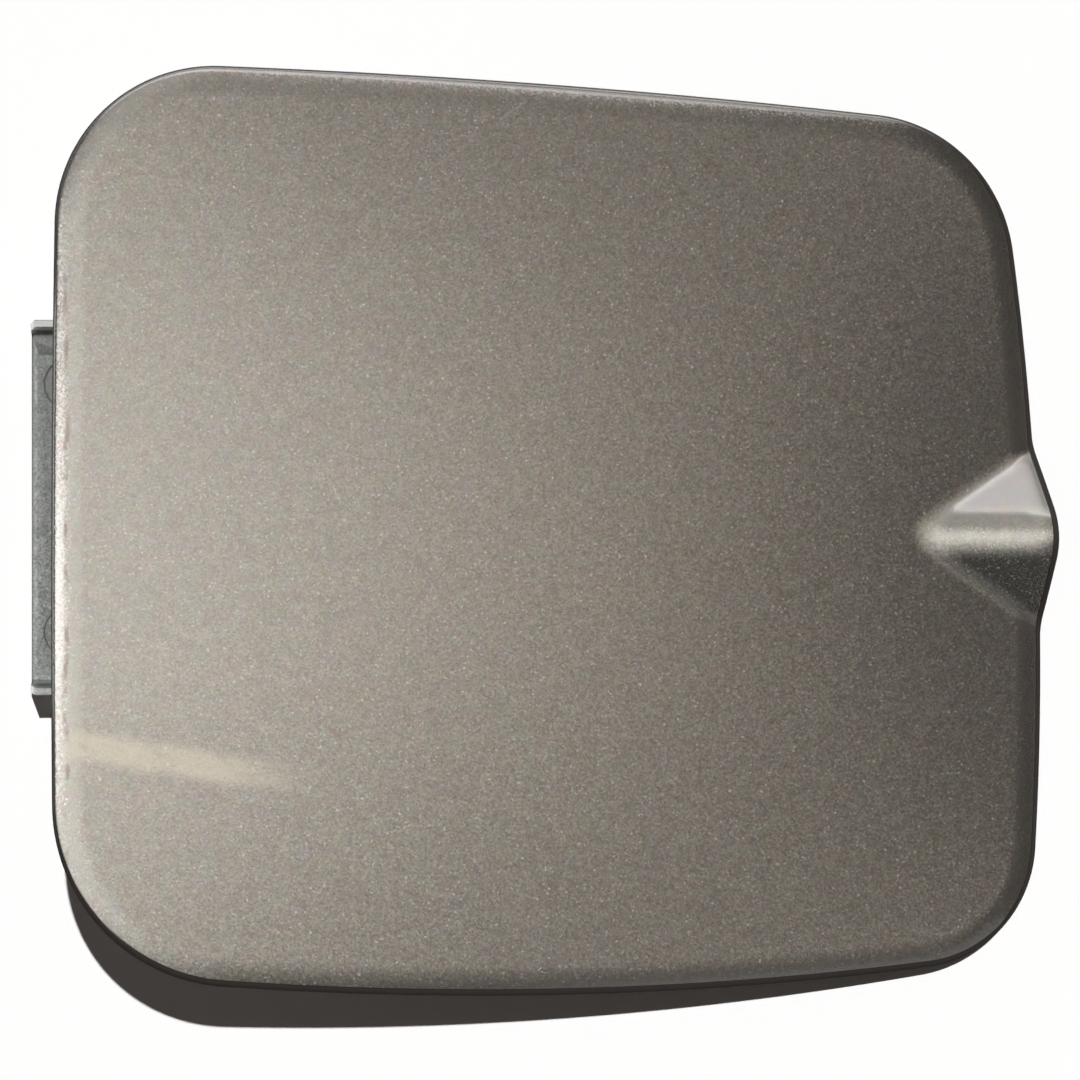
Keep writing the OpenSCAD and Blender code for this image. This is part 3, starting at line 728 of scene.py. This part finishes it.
def add_pieces():
    """Dressed copies of the other CAD nodes, each on its own body."""
    # Node, piece, body, slot, width of the rounded edges, and the angle from which they are rounded
    plan = [
        ("sealer_pads", "sealer_dabs", "door", "sealer", 0.6 * MM, 40),
        ("hinge_arm", "folded_arm", "door", "inner_paint", 0.22 * MM, 28),
        ("arm_rivets", "rivets", "door", "zinc", 0.12 * MM, 40),
        ("upper_bush", "bush_top", "door", "bush_plastic", 0.12 * MM, 40),
        ("lower_bush", "bush_bottom", "door", "bush_plastic", 0.12 * MM, 40),
        ("upper_bumper", "bumper_top", "door", "rubber", 0.25 * MM, 40),
        ("lower_bumper", "bumper_bottom", "door", "rubber", 0.25 * MM, 40),
        ("cap_hook", "filler_cap_hook", "door", "hook_plastic", 0.35 * MM, 28),
        ("hinge_bracket", "folded_bracket", "bracket", "bracket_paint", 0.22 * MM, 28),
        ("hinge_pin", "pin", "bracket", "zinc", 0.18 * MM, 40),
        ("pin_clip", "clip", "bracket", "spring_steel", 0.08 * MM, 40),
    ]
    made = {}
    for node, name, body, slot, edge, angle in plan:
        obj = dressed_copy(node, name, edge, angle)
        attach(obj, body)
        made[name] = obj
    return made


# The torsion spring, as in the part's source
WIRE_R = 0.6 * MM
COIL_R = 3.3 * MM
COIL_START = -16 * MM
TURNS = 5
TURN_GAP = 0.5 * MM
HEEL = Vector((9.43 * MM - PIN_X, 0, PLATE_T + WIRE_R + 0.15 * MM - PIN_H))
FOOT_L = 6 * MM
LEG_L = 13 * MM


def torsion_spring():
    """Foot on the bracket's plate, coil round the pin, and a leg under the arm."""
    first = math.atan2(HEEL.z, HEEL.x) + 2 * math.pi - math.acos(COIL_R / HEEL.length)
    last = math.pi / 2 - TILT - 2 * math.pi * TURNS
    pitch = 2 * WIRE_R + TURN_GAP
    steps = 180
    path = [HEEL + Vector((-FOOT_L * t, 0, 0)) for t in (1, 0.6, 0.2)]
    path = [p + Vector((0, COIL_START, 0)) for p in path]
    for i in range(steps + 1):
        a = first + (last - first) * i / steps
        y = COIL_START + pitch * (first - a) / (2 * math.pi)
        path.append(Vector((COIL_R * math.cos(a), y, COIL_R * math.sin(a))))
    end_dir = Vector((math.cos(TILT), 0, -math.sin(TILT)))
    path += [path[-1] + end_dir * LEG_L * t for t in (0.25, 0.6, 1.0)]
    path = [p + Vector((PIN_X, 0, PIN_H)) for p in path]
    wire = tube("coil_spring", path, WIRE_R, 14)
    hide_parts("hinge_spring")
    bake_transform(wire)
    return wire


# Camera, floor and light. The focal length and the frame are in the photograph's pixels.
CAMERA_AT = (79.7 * MM, -5.4 * MM, 488 * MM)
FOCAL_PX = 2877.0
FRAME_PX = 1080.0
SENSOR_MM = 36.0
KEY_FROM = Vector((0.10, 0.41, 1.0))
DOOR_MIDDLE = Vector((0.08, -0.004, 0.015))


def add_camera():
    """The photograph's view, from straight above."""
    data = bpy.data.cameras.new("camera")
    data.sensor_width = SENSOR_MM
    data.lens = FOCAL_PX / FRAME_PX * SENSOR_MM
    data.clip_start = 0.01
    data.clip_end = 20
    camera = bpy.data.objects.new("camera", data)
    camera.location = CAMERA_AT
    bpy.context.scene.collection.objects.link(camera)
    bpy.context.scene.camera = camera


def add_floor():
    half = 3.0
    corners = [(-half, -half, 0), (half, -half, 0), (half, half, 0), (-half, half, 0)]
    floor = new_object("floor", corners, [(0, 1, 2, 3)])
    s = Shader("floor")
    s.set(Base_Color=(0.98, 0.98, 0.98, 1.0), Roughness=0.9, Specular_IOR_Level=0.1)
    s.assign(floor)


def add_card(name, place, size, strength):
    """A soft lamp that faces the door's middle and shows only in the gloss."""
    data = bpy.data.lights.new(name, "AREA")
    data.shape = "RECTANGLE"
    data.size, data.size_y = size
    data.energy = strength
    data.color = (0.97, 0.95, 1.0)
    lamp = bpy.data.objects.new(name, data)
    lamp.location = place
    lamp.rotation_euler = (DOOR_MIDDLE - Vector(place)).to_track_quat("-Z", "Y").to_euler()
    lamp.visible_diffuse = False
    lamp.visible_camera = False
    bpy.context.scene.collection.objects.link(lamp)


def add_lights():
    """One sun that casts the shadow, and the pale windows and walls that the gloss shows."""
    key = bpy.data.lights.new("key", "SUN")
    key.energy = 3.3
    key.angle = math.radians(0.8)
    sun = bpy.data.objects.new("key", key)
    sun.rotation_euler = (-KEY_FROM).to_track_quat("-Z", "Y").to_euler()
    sun.visible_glossy = False
    bpy.context.scene.collection.objects.link(sun)
    add_card("side_window", (-1.0, -0.055, 1.115), (0.12, 1.2), 1.0)
    add_card("side_wall", (-1.02, 0.01, 1.125), (0.3, 1.2), 0.72)
    add_card("far_window", (-0.2, 1.26, 0.48), (1.2, 0.5), 1.95)
    add_card("far_wall", (0.65, 1.26, 0.48), (0.5, 0.5), 0.4)
    add_card("near_wall", (0.92, -0.95, 0.68), (0.9, 0.6), 0.28)
    add_card("roof_window", (0.34, 1.17, 0.8), (0.8, 0.18), 0.6)


def add_world():
    """A soft room: pale to the hinge side and above, dark to the pull side and low down."""
    world = bpy.data.worlds.new("world")
    bpy.context.scene.world = world
    world.use_nodes = True
    s = Nodes(world.node_tree, "Generated")
    x, y = s.part(s.place, "X"), s.part(s.place, "Y")
    # The light falls off towards the pull side, and to both sides of a line along X
    run = s.math("MINIMUM", s.math("MAXIMUM", s.line(x, -1.83, 1.15), 0.04), 1.2)
    narrowing = s.math("MAXIMUM", s.line(x, 0.8, 0.8), 0.82)
    shift = s.times(s.math("SUBTRACT", 0.25, x, clamp=True), 0.22)
    beside = s.times(s.math("MINIMUM", y, 0.33), narrowing)
    beside = s.math("ADD", beside, s.math("ADD", shift, 0.03))
    off = s.math("POWER", s.math("DIVIDE", beside, 0.43), 2.0)
    fading = s.math("POWER", math.e, s.times(off, -1.0))
    glow = s.times(run, fading, s.step(s.part(s.place, "Z"), 0.2, 0.8))
    # Low on the pull side stands a dim wall
    wall = s.times(s.step(x, 0.93, 0.99), 0.25)
    tint = s.mix(s.step(x, 0.6, -0.1), (1.0, 0.87, 0.77), (1.0, 0.975, 0.94))
    room = s.scaled(tint, s.math("ADD", glow, s.math("ADD", wall, 0.015)))
    ray = s.nodes.new("ShaderNodeLightPath")
    seen = s.mix(ray.outputs["Is Diffuse Ray"], room, (0.055, 0.047, 0.042))
    seen = s.mix(ray.outputs["Is Camera Ray"], seen, (1.0, 1.0, 1.0))
    s.feed(s.nodes["Background"].inputs["Color"], seen)


def main():
    add_camera()
    skin = door_skin()
    made = add_pieces()
    tray = inner_tray()
    spring = torsion_spring()
    door_paint().assign(skin)
    inner_paint().assign(tray, made["folded_arm"])
    bracket_paint().assign(made["folded_bracket"])
    zinc().assign(made["rivets"], made["pin"])
    spring_steel().assign(made["clip"], spring)
    nylon().assign(made["bush_top"], made["bush_bottom"])
    rubber().assign(made["bumper_top"], made["bumper_bottom"])
    sealer().assign(made["sealer_dabs"])
    moulded_plastic().assign(made["filler_cap_hook"])
    add_floor()
    add_lights()
    add_world()
    bpy.context.scene.view_settings.view_transform = "Standard"


main()
